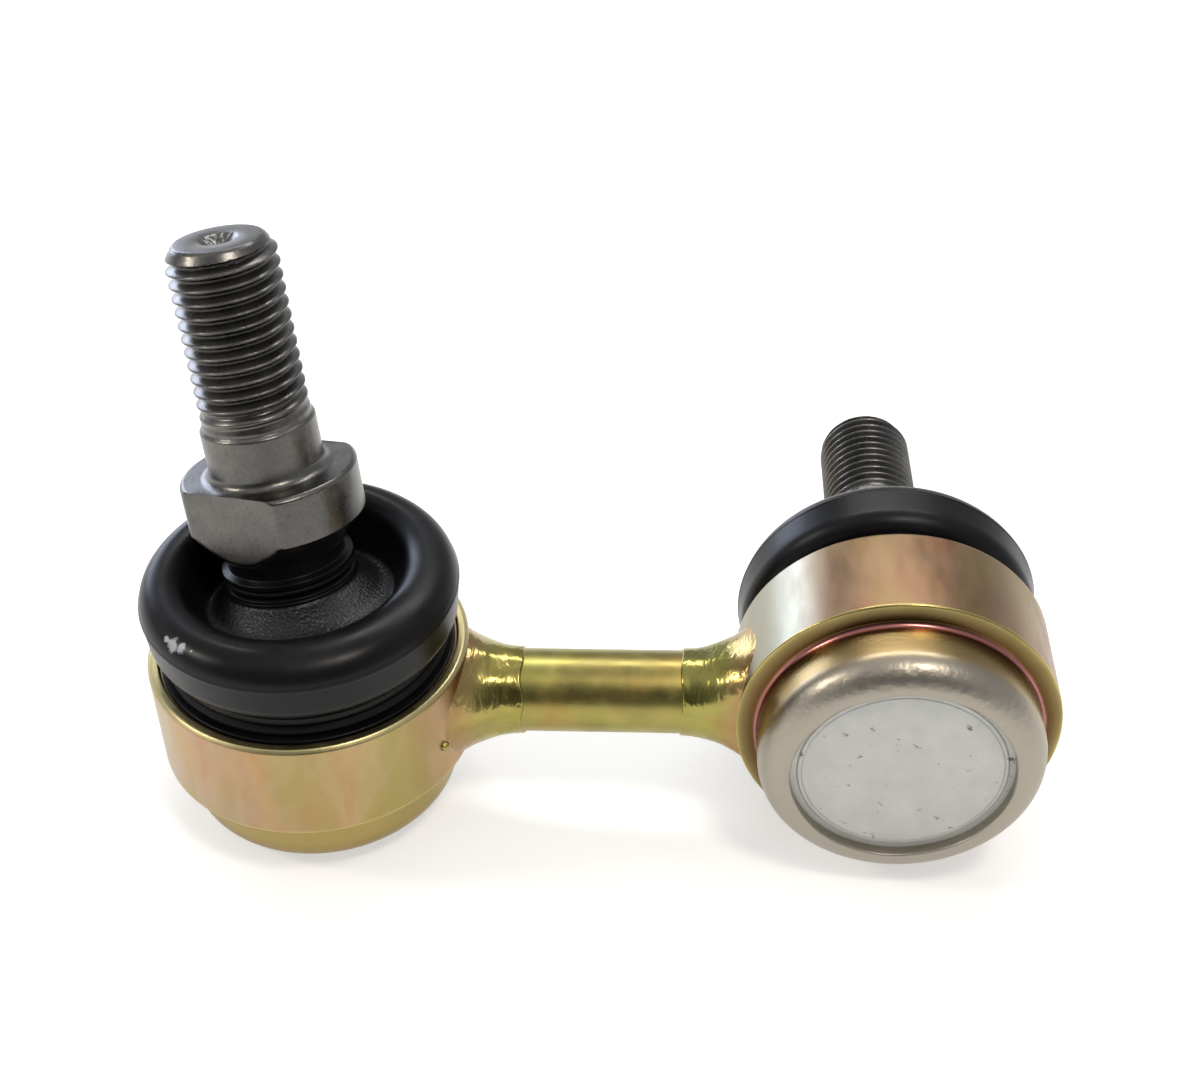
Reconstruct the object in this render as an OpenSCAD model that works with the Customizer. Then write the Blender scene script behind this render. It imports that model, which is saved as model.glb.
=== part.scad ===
// Stabilizer link: a short bar with a ball joint at each end, the joint axes a quarter turn apart.
// Each joint is drawn about its own ball centre, with +Z along the housing's axis towards the stud.

/* [Link] */
// Distance between the two ball centres
link_length = 56; // [46:1:90]
// Diameter of the round bar
rod_d = 8; // [6:0.5:9]
// Length of each weld bead along the bar
weld_length = 5; // [3:0.5:7]
// Diameter of the weld bead where it flares onto the housing
weld_flare_d = 14.4; // [12:0.2:16]
// Thickness of the weld bead at its toe on the bar
weld_toe = 0.35; // [0.2:0.05:0.6]

/* [Housing] */
// Diameter of the cup's body
body_d = 30.5; // [30:0.1:34]
// Height of the rim above the ball centre
rim_z = 6.1; // [5.8:0.1:6.8]
// Bevel round the rim's outer edge
rim_bevel = 0.35; // [0.1:0.05:0.6]
// Depth of the body's lower edge below the ball centre
body_drop = 4.4; // [3.6:0.1:5]
// Slope of the step between body and skirt
step_slope = 0.35; // [0:0.05:0.6]
// Fillet between the step and the skirt
step_fillet = 0.6; // [0.2:0.05:0.9]
// Depth of the crimped lip's lowest point below the ball centre
lip_drop = 11.1; // [10.8:0.1:11.6]
// Radius of the crimped lip's outer round
lip_round = 2.8; // [2:0.1:2.9]
// Small round on the lip's inner edge
lip_edge = 0.2; // [0.1:0.05:0.4]
// Width of the rim outside the recess for the boot's base
rim_w = 1.05; // [0.8:0.05:1.1]
// Depth of that recess below the rim
recess_depth = 0.6; // [0.4:0.1:1]
// Diameter of the spigot that carries the boot
spigot_d = 21.6; // [21.2:0.1:22]
// Height of the spigot above the rim
spigot_height = 1.4; // [1.2:0.1:1.6]
// Overhang of the spigot's retaining edge
spigot_edge = 0.5; // [0.3:0.05:0.6]
// Height of the spigot's retaining edge
spigot_edge_height = 0.5; // [0.3:0.05:0.6]
// Diameter of the mouth at the seat's shoulder
mouth_d = 15.2; // [14.8:0.1:15.8]
// Diameter of the mouth at the spigot's top
mouth_top_d = 18.8; // [18.4:0.1:19.2]
// Height of the seat's shoulder above the ball centre
shoulder_z = 4.2; // [4:0.1:4.4]
// Diameter of the cavity that holds the seats
cavity_d = 22; // [21.4:0.1:22.4]
// Wall of the skirt round that cavity
skirt_wall = 2.3; // [2:0.1:2.6]

/* [End plate] */
// Width of the step that the end plate sits on
plate_step = 0.65; // [0.4:0.05:0.9]
// Thickness of the plate at its edge
plate_t = 1.4; // [1:0.1:1.6]
// Depth of the plate's outer face below the ball centre
plate_drop = 10; // [9.8:0.1:10.2]
// Width of the plate's flat edge inside the crimped lip
plate_margin = 0.7; // [0.4:0.05:2]
// Height of the raised middle
plate_raised = 0.2; // [0.1:0.05:0.4]

/* [Ball and seats] */
// Diameter of the ball
ball_d = 15; // [14.6:0.1:15.2]
// Diameter of the flat on the ball's pole
ball_flat_d = 4.6; // [3:0.1:6]
// Running clearance between ball and seats
ball_clearance = 0.03; // [0.01:0.01:0.06]
// Diameter of the upper seat's mouth
seat_mouth_d = 13.2; // [13:0.1:13.6]
// Gap between the two seats at the ball's equator
seat_gap = 0.4; // [0.2:0.1:0.8]
// Depth of the lower seat's underside below the ball centre
seat_drop = 7.4; // [7.2:0.1:7.6]
// Diameter of the hole through the lower seat
seat_hole_d = 6.4; // [5:0.1:8]
// Side clearance of the seats in the cavity
seat_clearance = 0.05; // [0.02:0.01:0.1]
// Thickness of the disc spring
washer_t = 0.6; // [0.4:0.05:0.8]
// Clearance round the disc spring in the cavity
washer_clearance = 0.3; // [0.2:0.05:1]
// Bore of the disc spring
washer_bore_d = 11.2; // [8:0.1:13]

/* [Stud] */
// Outer diameter of the thread
thread_d = 10; // [9:0.5:10]
// Distance of the stud's tip from the ball centre
stud_tip = 45.4; // [40:0.2:56]
// Diameter of the stud's end face
tip_face_d = 8.2; // [6:0.1:8.6]
// Height of the chamfer at the tip
tip_chamfer = 1.4; // [0.6:0.1:2]
// Diameter of the centre mark in the end face
tip_mark_d = 3.4; // [2:0.1:4]
// Depth of the centre mark
tip_mark_depth = 0.8; // [0.3:0.1:1.2]
// Diameter of the plain shank under the thread
shank_d = 10.6; // [10.4:0.1:11.2]
// Distance of the shank's upper end from the ball centre
shank_top = 28.5; // [27:0.1:30]
// Height of the taper from shank to thread
shank_taper = 0.3; // [0.1:0.05:0.6]
// Distance of the collar's seating face from the ball centre
collar_top = 23.5; // [22.5:0.1:24.5]
// Diameter of the collar
collar_d = 16.4; // [15.6:0.1:17]
// Bevel round the collar's upper edge
collar_bevel = 0.3; // [0.1:0.05:0.5]
// Fillet between shank and collar
collar_fillet = 0.9; // [0.4:0.1:1.1]
// Distance across the collar's two wrench flats
collar_flats = 13; // [12.8:0.1:14.5]
// Distance of the collar's lower edge from the ball centre
collar_low = 18.8; // [17.8:0.1:19.8]
// Distance of the collar's underside from the ball centre
collar_base = 16; // [15.8:0.1:16.6]
// Diameter of the collar's underside
collar_base_d = 12; // [11.4:0.1:13]
// Diameter of the neck that carries the boot
neck_d = 9.8; // [9.2:0.1:10]
// Distance of the neck's lower end from the ball centre
neck_low = 11.4; // [10.8:0.1:11.8]
// Diameter of the waist between neck and ball
waist_d = 8.2; // [7.6:0.1:8.4]

/* [Boot] */
// Largest diameter of the boot's roll
boot_d = 29.6; // [28.4:0.1:30]
// Height of the roll's crest above the ball centre
boot_crest_z = 15.3; // [14.6:0.1:16]
// Wall thickness of the boot
boot_wall = 1.4; // [1:0.1:1.5]
// Height of the dish floor's wall middle above the ball centre
boot_floor_z = 10; // [9.9:0.1:10.4]
// Place of the dish floor's lowest circle on the way from the neck to the roll
floor_place = 0.39; // [0.37:0.01:0.41]
// Bend of the roll at the middle of the wall
roll_bend = 1.7; // [1.5:0.05:1.9]
// Bend of the dish floor at the middle of the wall
floor_bend = 1.7; // [1.4:0.05:1.8]
// Clearance between the boot and the metal that it grips
boot_clearance = 0.08; // [0.04:0.01:0.12]
// Clearance round the boot's base in its recess
boot_base_clearance = 0.25; // [0.1:0.05:0.4]
// Height of the boot's base flange
boot_base_flange = 0.6; // [0.4:0.05:0.8]
// Diameter of the wire of the base ring
base_wire_d = 1.1; // [0.8:0.1:1.2]
// Diameter of the groove that the base ring lies in
base_groove_d = 24.6; // [24.2:0.1:24.8]
// Diameter of the rib above the base ring
base_rib_d = 26.4; // [25.6:0.1:27]
// Height of the rib above the base ring
base_rib_height = 0.75; // [0.5:0.05:0.9]
// Depth of the pinch between that rib and the roll
pinch_depth = 0.2; // [0:0.05:0.4]
// Diameter of the wire of the neck ring
neck_wire_d = 0.6; // [0.5:0.1:1]
// Diameter of the groove that the neck ring lies in
neck_groove_d = 10.9; // [10.8:0.1:11.4]
// Diameter of the boot's upper lip
neck_lip_d = 12.3; // [11.8:0.1:13]
// Thickness of the boot's upper lip
neck_lip_t = 0.5; // [0.4:0.05:0.6]
// Diameter of the bead under the neck ring
neck_bead_d = 12.8; // [12.2:0.1:13.2]
// Height of the neck ring above the neck's lower end
neck_ring_rise = 1.9; // [1.6:0.1:2]
// Gap between the ends of each wire ring
wire_gap = 1.6; // [0.8:0.1:3]

/* [Pose] */
// Lean of the left stud away from the viewer, in degrees
left_lean_back = 12; // [-16:0.5:16]
// Lean of the left stud along the bar, in degrees
left_lean_side = -6.5; // [-16:0.5:16]
// Turn of the left stud about its own axis, in degrees
left_turn = -22.5; // [-180:0.5:180]
// Lean of the right stud towards the ground, in degrees
right_lean_back = 4.3; // [-16:0.1:16]
// Lean of the right stud along the bar, in degrees
right_lean_side = 0; // [-16:0.5:16]
// Turn of the right stud about its own axis, in degrees
right_turn = 15; // [-180:0.5:180]

/* [Hidden] */

LEFT = -1;
RIGHT = 1;
round_fn = 96;
arc_steps = 8;
overlap = 1;

zinc = "#c9b074";
zinc_weld = "#bfa85c";
plate_grey = "#b9bab6";
steel = "#6f6c69";
rubber = "#26262a";
acetal = "#e4e2d8";
spring_steel = "#55585c";
black_wire = "#1d1d20";

rod_r = rod_d / 2;
body_r = body_d / 2;
cavity_r = cavity_d / 2;
skirt_r = cavity_r + skirt_wall;
fillet_r = min(step_fillet, body_r - skirt_r);
lip_open_r = skirt_r - lip_round - lip_edge;
spigot_r = spigot_d / 2;
spigot_edge_r = spigot_r + spigot_edge;
spigot_top = rim_z + spigot_height;
recess_r = body_r - rim_w;
recess_z = rim_z - recess_depth;
plate_r = cavity_r + plate_step;
plate_seat_z = plate_t - plate_drop;
step_z = -body_drop - step_slope;
ball_r = ball_d / 2;
ball_seat_r = ball_r + ball_clearance;
seat_r = cavity_r - seat_clearance;
washer_r = cavity_r - washer_clearance;
thread_r = thread_d / 2;
shank_r = shank_d / 2;
collar_r = collar_d / 2;
neck_r = neck_d / 2;
waist_r = waist_d / 2;
tip_face_r = tip_face_d / 2;

// Height at which the upper seat's mouth leaves the ball
seat_mouth_r = seat_mouth_d / 2;
seat_mouth_z = sqrt(ball_seat_r ^ 2 - seat_mouth_r ^ 2);

// Boot base: it stands in the rim's recess, round the spigot
boot_base_z = recess_z + boot_clearance;
boot_base_r = recess_r - boot_base_clearance;
boot_bore_r = spigot_r + boot_clearance;
boot_over_edge_r = spigot_edge_r + boot_clearance;
boot_under_edge_z = spigot_top - spigot_edge_height - boot_clearance;
base_groove_r = base_groove_d / 2;
base_groove_half = base_wire_d / 2 + boot_clearance;
base_ring_z = boot_base_z + boot_base_flange + base_groove_half;
base_ring_r = base_groove_r + base_groove_half;
base_rib_r = base_rib_d / 2;
base_rib_low = base_ring_z + base_groove_half;
base_rib_top = base_rib_low + base_rib_height;

// Boot neck: it grips the stud between the collar and the neck's lower end
neck_top_s = collar_base - boot_clearance;
neck_bore_r = neck_r + boot_clearance;
neck_lip_r = neck_lip_d / 2;
neck_groove_r = neck_groove_d / 2;
neck_groove_half = neck_wire_d / 2 + boot_clearance;
neck_ring_s = neck_low + neck_ring_rise;
neck_ring_r = neck_groove_r + neck_groove_half;
neck_bead_r = neck_bead_d / 2;

// Middle of the boot's wall: up from the pinch, over the roll, down through the dish and up to the neck
pinch = [base_rib_r - pinch_depth - boot_wall / 2, base_rib_top + boot_wall / 2];
roll_centre = [(boot_d - boot_wall) / 2 - roll_bend, boot_crest_z - boot_wall / 2 - roll_bend];
neck_foot = [neck_bore_r + boot_wall / 2, neck_low + boot_clearance];
floor_r = neck_foot[0] + floor_place * (roll_centre[0] - neck_foot[0]);
floor_centre = [floor_r, boot_floor_z + floor_bend];
roll_from = bearing(roll_centre, pinch) + touch(roll_centre, pinch, roll_bend) - 360;
roll_to = bearing(roll_centre, floor_centre) - touch(roll_centre, floor_centre, roll_bend + floor_bend);
floor_from = roll_to + 180;
floor_to = bearing(floor_centre, neck_foot) + touch(floor_centre, neck_foot, floor_bend);
roll_steps = 9;
floor_steps = 5;
boot_line = concat(
  [pinch],
  arc(roll_centre, roll_bend, roll_from, roll_to, roll_steps),
  arc(floor_centre, floor_bend, floor_from, floor_to, floor_steps),
  [neck_foot]
);
boot_sides = 36;

// Lean of each stud as turns about the joint's own X and Y
function lean_x(side) = side == LEFT ? -left_lean_back : -right_lean_back;
function lean_y(side) = side == LEFT ? left_lean_side : right_lean_side;
function stud_turn(side) = side == LEFT ? left_turn : right_turn;
function lean(side) = acos(cos(lean_x(side)) * cos(lean_y(side)));

// How far the stud's tip reaches along the housing's axis
function tip_reach(side) = stud_tip * cos(lean(side)) + tip_face_r * sin(lean(side));

// The origin lies under the middle of the whole part
axis_y = (body_r - tip_reach(RIGHT)) / 2;
axis_z = body_r;

function arc(centre, r, from, to, steps = arc_steps) =
  [for (i = [0 : steps]) let (a = from + (to - from) * i / steps) centre + r * [cos(a), sin(a)]];

// Direction of one point from another, from 0 to 360 degrees
function bearing(from, to) = (atan2(to[1] - from[1], to[0] - from[0]) + 360) % 360;

// Angle between that direction and the point where a tangent touches a circle
function touch(from, to, r) = acos(r / norm(to - from));

// Left-hand normal of a curve at one of its points
function normal(p, i) =
  let (d = p[min(i + 1, len(p) - 1)] - p[max(i - 1, 0)])
  [-d[1], d[0]] / norm(d);

// Share of the stud's lean at a point part of the way along the boot's wall
function lean_share(t) = t ^ 2.5;

// Turns a point about X and then Y by a share of the stud's lean
function turned(p, share, side) =
  let (
    a = share * lean_x(side),
    b = share * lean_y(side),
    y = p[1] * cos(a) - p[2] * sin(a),
    z = p[1] * sin(a) + p[2] * cos(a)
  )
  [p[0] * cos(b) + z * sin(b), y, z * cos(b) - p[0] * sin(b)];

module at_joint(side) {
  translate([side * link_length / 2, axis_y, axis_z])
    rotate([side == RIGHT ? -90 : 0, 0, 0])
      children();
}

module at_stud(side) {
  at_joint(side)
    rotate([lean_x(side), lean_y(side), 0])
      rotate([0, 0, stud_turn(side)])
        children();
}

module revolve(points) {
  rotate_extrude($fn = round_fn)
    polygon(points);
}

// Round bar, cut to the curve of both housings
module link_rod() {
  color(zinc)
    difference() {
      translate([-link_length / 2, axis_y, axis_z])
        rotate([0, 90, 0])
          cylinder(r = rod_r, h = link_length, $fn = round_fn);
      for (side = [LEFT, RIGHT])
        at_joint(side)
          cylinder(r = body_r, h = 2 * body_r, center = true, $fn = round_fn);
    }
}

// Weld bead: a hollow flare round the bar, kept between the rim and the body's lower edge
module weld(side) {
  flare_r = weld_flare_d / 2;
  toe_r = rod_r + weld_toe;
  toe_x = body_r + weld_length;
  sweep = toe_x - sqrt(body_r ^ 2 - flare_r ^ 2);
  rise = flare_r - toe_r;
  bead_r = (sweep ^ 2 + rise ^ 2) / (2 * rise);
  bead_angle = asin(sweep / bead_r);
  color(zinc_weld)
    difference() {
      intersection() {
        translate([side * link_length / 2, axis_y, axis_z])
          rotate([0, -90 * side, 0])
            revolve(concat(
              [[0, body_r - flare_r], [flare_r, body_r - flare_r]],
              arc([toe_r + bead_r, toe_x], bead_r, 180 + bead_angle, 180),
              [[0, toe_x]]
            ));
        at_joint(side)
          translate([0, 0, -body_drop])
            cylinder(r = 2 * body_r, h = rim_z + body_drop - rim_bevel, $fn = round_fn);
      }
      at_joint(side)
        cylinder(r = body_r, h = 2 * body_r, center = true, $fn = round_fn);
      translate([-link_length / 2, axis_y, axis_z])
        rotate([0, 90, 0])
          cylinder(r = rod_r, h = link_length, $fn = round_fn);
    }
}

// Cup: crimped lip, stepped skirt, body, rim recess, spigot, flared mouth and seat cavity
module housing(side) {
  edge_z = spigot_top - spigot_edge_height;
  color(zinc)
    at_joint(side)
      revolve(concat(
        arc([skirt_r - lip_round, lip_round - lip_drop], lip_round, -90, 0),
        arc([skirt_r + fillet_r, step_z - fillet_r], fillet_r, 180, 90),
        [
          [body_r, -body_drop],
          [body_r, rim_z - rim_bevel],
          [body_r - rim_bevel, rim_z],
          [recess_r, rim_z],
          [recess_r, recess_z],
          [spigot_r, recess_z],
          [spigot_r, edge_z - spigot_edge],
          [spigot_edge_r, edge_z],
          [spigot_edge_r, spigot_top],
          [mouth_top_d / 2, spigot_top],
          [mouth_d / 2, shoulder_z],
          [cavity_r, shoulder_z],
          [cavity_r, plate_seat_z],
          [plate_r, plate_seat_z],
          [plate_r, -plate_drop],
          [lip_open_r, -plate_drop],
          [lip_open_r, lip_edge - lip_drop],
          [lip_open_r + lip_edge, -lip_drop]
        ]
      ));
}

// Pressed disc with a raised middle, held against its step by the crimped lip
module end_plate(side) {
  raised_r = lip_open_r - plate_margin;
  color(plate_grey)
    at_joint(side)
      revolve([
        [0, plate_seat_z],
        [0, -plate_drop - plate_raised],
        [raised_r, -plate_drop - plate_raised],
        [raised_r + plate_raised, -plate_drop],
        [plate_r, -plate_drop],
        [plate_r, plate_seat_z]
      ]);
}

// Bearing shell between the ball and the housing's shoulder
module upper_seat(side) {
  flare = (mouth_top_d - mouth_d) / 2 / (spigot_top - shoulder_z);
  color(acetal)
    at_joint(side)
      difference() {
        translate([0, 0, seat_gap / 2])
          cylinder(r = seat_r, h = shoulder_z - seat_gap / 2, $fn = round_fn);
        sphere(r = ball_seat_r, $fn = round_fn);
        cylinder(
          r1 = seat_mouth_r - flare * seat_mouth_z,
          r2 = seat_mouth_r + flare * (ball_r - seat_mouth_z),
          h = ball_r,
          $fn = round_fn
        );
      }
}

// Bearing shell below the ball, open at the pole
module lower_seat(side) {
  color(acetal)
    at_joint(side)
      difference() {
        translate([0, 0, -seat_drop])
          cylinder(r = seat_r, h = seat_drop - seat_gap / 2, $fn = round_fn);
        sphere(r = ball_seat_r, $fn = round_fn);
        translate([0, 0, -seat_drop - overlap])
          cylinder(d = seat_hole_d, h = seat_drop, $fn = round_fn);
      }
}

// Coned disc spring: its bore bears on the lower seat and its rim on the end plate
module preload_washer(side) {
  color(spring_steel)
    at_joint(side)
      revolve([
        [washer_bore_d / 2, -seat_drop],
        [washer_bore_d / 2, -seat_drop - washer_t],
        [washer_r, plate_seat_z],
        [washer_r, plate_seat_z + washer_t]
      ]);
}

// Forged stud: ball with a flat pole, waisted neck, collar with two flats, shank and threaded end
module ball_stud(side) {
  waist_s = sqrt(ball_r ^ 2 - waist_r ^ 2);
  pole_s = sqrt(ball_r ^ 2 - (ball_flat_d / 2) ^ 2);
  run = neck_low - waist_s;
  swell = neck_r - waist_r;
  neck_arc_r = (run ^ 2 + swell ^ 2) / (2 * swell);
  neck_angle = asin(run / neck_arc_r);
  flat_low = collar_base - overlap;
  flat_high = collar_top + collar_fillet;
  color(steel)
    at_stud(side)
      difference() {
        union() {
          intersection() {
            sphere(r = ball_r, $fn = round_fn);
            translate([0, 0, -pole_s])
              cylinder(r = ball_d, h = ball_d * 2, $fn = round_fn);
          }
          revolve(concat(
            [[0, 0]],
            arc([waist_r + neck_arc_r, waist_s], neck_arc_r, 180, 180 - neck_angle),
            [
              [neck_r, collar_base],
              [collar_base_d / 2, collar_base],
              [collar_r, collar_low],
              [collar_r, collar_top - collar_bevel],
              [collar_r - collar_bevel, collar_top]
            ],
            arc([shank_r + collar_fillet, collar_top + collar_fillet], collar_fillet, 270, 180),
            [
              [shank_r, shank_top - shank_taper],
              [thread_r, shank_top],
              [thread_r, stud_tip - tip_chamfer],
              [tip_face_r, stud_tip],
              [tip_mark_d / 2, stud_tip],
              [0, stud_tip - tip_mark_depth]
            ]
          ));
        }
        for (face = [-1, 1])
          translate([0, face * (collar_flats + collar_d) / 2, (flat_low + flat_high) / 2])
            cube([2 * collar_d, collar_d, flat_high - flat_low], center = true);
      }
}

// Rubber boot: a rolled wall between a base that grips the spigot and a neck that grips the stud.
// Every ring of the wall leans with the stud by its share of the way from base to neck.
module boot(side) {
  last = len(boot_line) - 1;
  outer = [
    for (i = [0 : last])
      let (p = boot_line[i] - normal(boot_line, i) * boot_wall / 2, t = i / last)
      [p[0], p[1], lean_share(t)]
  ];
  inner = [
    for (i = [last : -1 : 0])
      let (p = boot_line[i] + normal(boot_line, i) * boot_wall / 2, t = i / last)
      [p[0], p[1], lean_share(t)]
  ];
  base_outside = [
    [boot_bore_r, boot_base_z, 0],
    [boot_base_r, boot_base_z, 0],
    [boot_base_r, boot_base_z + boot_base_flange, 0],
    [base_groove_r, boot_base_z + boot_base_flange, 0],
    [base_groove_r, base_rib_low, 0],
    [base_rib_r, base_rib_low, 0],
    [base_rib_r, base_rib_top - base_rib_height / 2, 0]
  ];
  neck = [
    [neck_bead_r, neck_ring_s - neck_groove_half - neck_lip_t, 1],
    [neck_bead_r, neck_ring_s - neck_groove_half - neck_lip_t / 2, 1],
    [neck_groove_r, neck_ring_s - neck_groove_half, 1],
    [neck_groove_r, neck_ring_s + neck_groove_half, 1],
    [neck_lip_r, neck_ring_s + neck_groove_half + neck_lip_t / 2, 1],
    [neck_lip_r, neck_ring_s + neck_groove_half + neck_lip_t, 1],
    [neck_groove_r, neck_ring_s + neck_groove_half + neck_lip_t * 1.5, 1],
    [neck_groove_r, neck_top_s, 1],
    [neck_bore_r, neck_top_s, 1],
    [neck_bore_r, neck_low + boot_clearance, 1]
  ];
  base_inside = [
    [boot_over_edge_r, spigot_top + boot_clearance, 0],
    [boot_over_edge_r, boot_under_edge_z, 0],
    [boot_bore_r, boot_under_edge_z - spigot_edge, 0]
  ];
  wall = concat(base_outside, outer, neck, inner, base_inside);
  rings = len(wall);
  points = [
    for (w = wall)
      for (j = [0 : boot_sides - 1])
        let (a = 360 * j / boot_sides)
        turned([w[0] * cos(a), w[0] * sin(a), w[1]], w[2], side)
  ];
  function at(i, j) = (i % rings) * boot_sides + (j % boot_sides);
  faces = [
    for (i = [0 : rings - 1])
      for (j = [0 : boot_sides - 1])
        each [
          [at(i, j), at(i + 1, j), at(i, j + 1)],
          [at(i + 1, j), at(i + 1, j + 1), at(i, j + 1)]
        ]
  ];
  color(rubber)
    at_joint(side)
      polyhedron(points = points, faces = faces, convexity = 8);
}

// Round-wire ring, open by a small gap
module wire_ring(ring_r, wire_d) {
  difference() {
    rotate_extrude($fn = round_fn)
      translate([ring_r, 0])
        circle(d = wire_d, $fn = round_fn / 2);
    translate([0, ring_r, 0])
      cube([wire_gap, 2 * wire_d, 2 * wire_d], center = true);
  }
}

module boot_base_ring(side) {
  color(black_wire)
    at_joint(side)
      translate([0, 0, base_ring_z])
        wire_ring(base_ring_r, base_wire_d);
}

module boot_neck_ring(side) {
  color(black_wire)
    at_stud(side)
      translate([0, 0, neck_ring_s])
        wire_ring(neck_ring_r, neck_wire_d);
}

link_rod();
weld(LEFT);  // left_weld
weld(RIGHT);  // right_weld
housing(LEFT);  // left_housing
end_plate(LEFT);  // left_end_plate
upper_seat(LEFT);  // left_upper_seat
lower_seat(LEFT);  // left_lower_seat
preload_washer(LEFT);  // left_preload_washer
ball_stud(LEFT);  // left_ball_stud
boot(LEFT);  // left_boot
boot_base_ring(LEFT);  // left_boot_base_ring
boot_neck_ring(LEFT);  // left_boot_neck_ring
housing(RIGHT);  // right_housing
end_plate(RIGHT);  // right_end_plate
upper_seat(RIGHT);  // right_upper_seat
lower_seat(RIGHT);  // right_lower_seat
preload_washer(RIGHT);  // right_preload_washer
ball_stud(RIGHT);  // right_ball_stud
boot(RIGHT);  // right_boot
boot_base_ring(RIGHT);  // right_boot_base_ring
boot_neck_ring(RIGHT);  // right_boot_neck_ring
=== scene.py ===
import math

import bpy
import numpy as np
from mathutils import Matrix, Vector, noise


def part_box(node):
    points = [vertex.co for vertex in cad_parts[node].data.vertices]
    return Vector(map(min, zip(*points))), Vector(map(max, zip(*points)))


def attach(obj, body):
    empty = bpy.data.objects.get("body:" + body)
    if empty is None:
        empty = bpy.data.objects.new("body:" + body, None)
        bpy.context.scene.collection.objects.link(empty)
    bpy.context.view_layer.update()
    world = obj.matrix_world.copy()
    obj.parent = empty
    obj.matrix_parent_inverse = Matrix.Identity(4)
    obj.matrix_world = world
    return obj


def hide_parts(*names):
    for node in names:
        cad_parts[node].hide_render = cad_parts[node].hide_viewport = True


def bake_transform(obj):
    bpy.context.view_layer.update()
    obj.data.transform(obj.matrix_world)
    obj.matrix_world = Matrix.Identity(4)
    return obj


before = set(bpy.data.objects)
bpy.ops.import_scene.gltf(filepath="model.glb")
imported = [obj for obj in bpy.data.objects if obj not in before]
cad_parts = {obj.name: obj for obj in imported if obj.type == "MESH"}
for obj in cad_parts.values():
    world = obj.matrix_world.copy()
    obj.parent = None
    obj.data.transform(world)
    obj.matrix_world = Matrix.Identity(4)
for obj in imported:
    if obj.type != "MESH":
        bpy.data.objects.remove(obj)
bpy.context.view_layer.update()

# Link rod: a plain round steel bar, cut to the curve of both cups and welded to them.
# The whole weldment was zinc plated and dipped in yellow chromate after welding.
MM = 0.001
SIDES = {"left": -1, "right": 1}
LINK_LENGTH = 56.0
ROD_R = 4.0
rod_low, rod_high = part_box("link_rod")
rod_middle = (rod_low + rod_high) / 2


def linear(colour):
    """An sRGB hex colour as linear RGBA."""
    parts = [int(colour[i : i + 2], 16) / 255 for i in (1, 3, 5)]
    return [p / 12.92 if p <= 0.04045 else ((p + 0.055) / 1.055) ** 2.4 for p in parts] + [1.0]


def add(tree, kind, inputs=None, stops=None, **settings):
    """Adds one shader node with its settings, its values or links, and its colour stops."""
    made = tree.nodes.new("ShaderNode" + kind)
    for name, value in settings.items():
        setattr(made, name, value)
    for name, value in (inputs or {}).items():
        if isinstance(value, bpy.types.NodeSocket):
            tree.links.new(value, made.inputs[name])
        else:
            made.inputs[name].default_value = value
    if stops:
        ramp = made.color_ramp.elements
        while len(ramp) < len(stops):
            ramp.new(1.0)
        for element, (place, colour) in zip(ramp, stops):
            element.position = place
            element.color = linear(colour) if isinstance(colour, str) else [colour] * 3 + [1.0]
    return made


def new_finish(name, **sockets):
    """An empty material: its tree, its shader with plain values set, and the object's coordinates."""
    material = bpy.data.materials.new(name)
    material.use_nodes = True
    tree = material.node_tree
    tree.nodes.clear()
    shader = add(tree, "BsdfPrincipled", {key.replace("_", " "): value for key, value in sockets.items()})
    add(tree, "OutputMaterial", {"Surface": shader.outputs[0]})
    return material, tree, shader, add(tree, "TexCoord").outputs["Object"]


def per_mm(size):
    """Texture scale that gives a pattern features of that size in millimetres."""
    return 1 / (size * MM)


# Yellow chromate over zinc: a satin metal under a thin film that drifts between straw, gold,
# rose and olive over about a centimetre, with finer clouding inside it.
DRIFT_MM = 11.0
BLUSH_MM = 6.0
CLOUD_MM = 1.8
GRAIN_MM = 0.4
GRAIN_HEIGHT = 0.006
OLIVE_FILM = [(0.30, "#8f8a50"), (0.45, "#a39c58"), (0.56, "#a89c5a"), (0.68, "#968a52")]
TAN_FILM = [(0.28, "#a89766"), (0.40, "#b19b6e"), (0.50, "#b6966f"), (0.60, "#b39a7c"), (0.72, "#a8986a")]
BROWN_FILM = [(0.28, "#908158"), (0.42, "#97815d"), (0.52, "#987a60"), (0.62, "#9f8564"), (0.74, "#948556")]


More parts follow.
